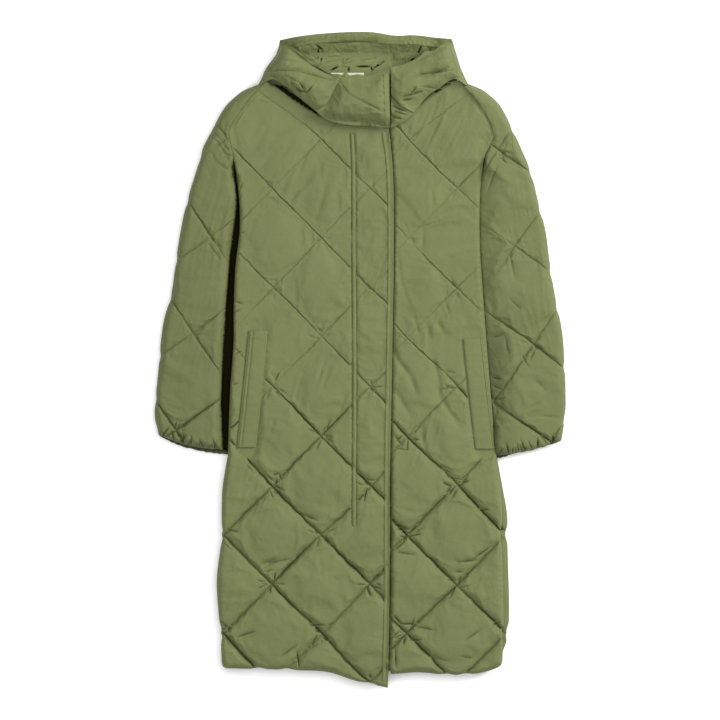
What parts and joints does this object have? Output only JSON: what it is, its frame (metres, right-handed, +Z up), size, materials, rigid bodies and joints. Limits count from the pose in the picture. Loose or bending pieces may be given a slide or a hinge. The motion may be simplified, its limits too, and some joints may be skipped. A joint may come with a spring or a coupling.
{
  "type": "hooded quilted parka laid flat",
  "caption": "Long padded parka laid flat on its back, with diamond quilting, raglan sleeves, welt pockets, a covered fly and a standing hood.",
  "frame": {"origin": "under the middle of the coat's outline, on the surface that the coat lies on", "axes": "+Y from the hem to the hood, +X to the wearer's left, +Z up from the surface, out of the coat's front"},
  "size_m": [0.8221, 1.3123, 0.0745],
  "materials": {
    "shell": "olive green plain-weave polyester with a soft silky sheen",
    "lining": "olive green plain-weave lining, a little darker",
    "label": "plain pale cream woven label, blank"
  },
  "bodies": {
    "root": {"back": "shell", "front_right": "shell", "front_left": "shell", "sleeve_right": "shell", "sleeve_left": "shell", "cuff_right": "shell", "cuff_left": "shell", "fly_stitch_band": "shell", "front_edge_band": "shell", "pocket_welt_right": "shell", "pocket_welt_left": "shell", "hood_back": "shell", "hood_lining": "lining", "neck_label": "label", "hood_rim": "shell", "hood_side_right": "shell", "hood_side_left": "shell", "collar_right": "shell", "collar_left": "shell", "collar_edge_band": "shell"}
  },
  "joints": []
}
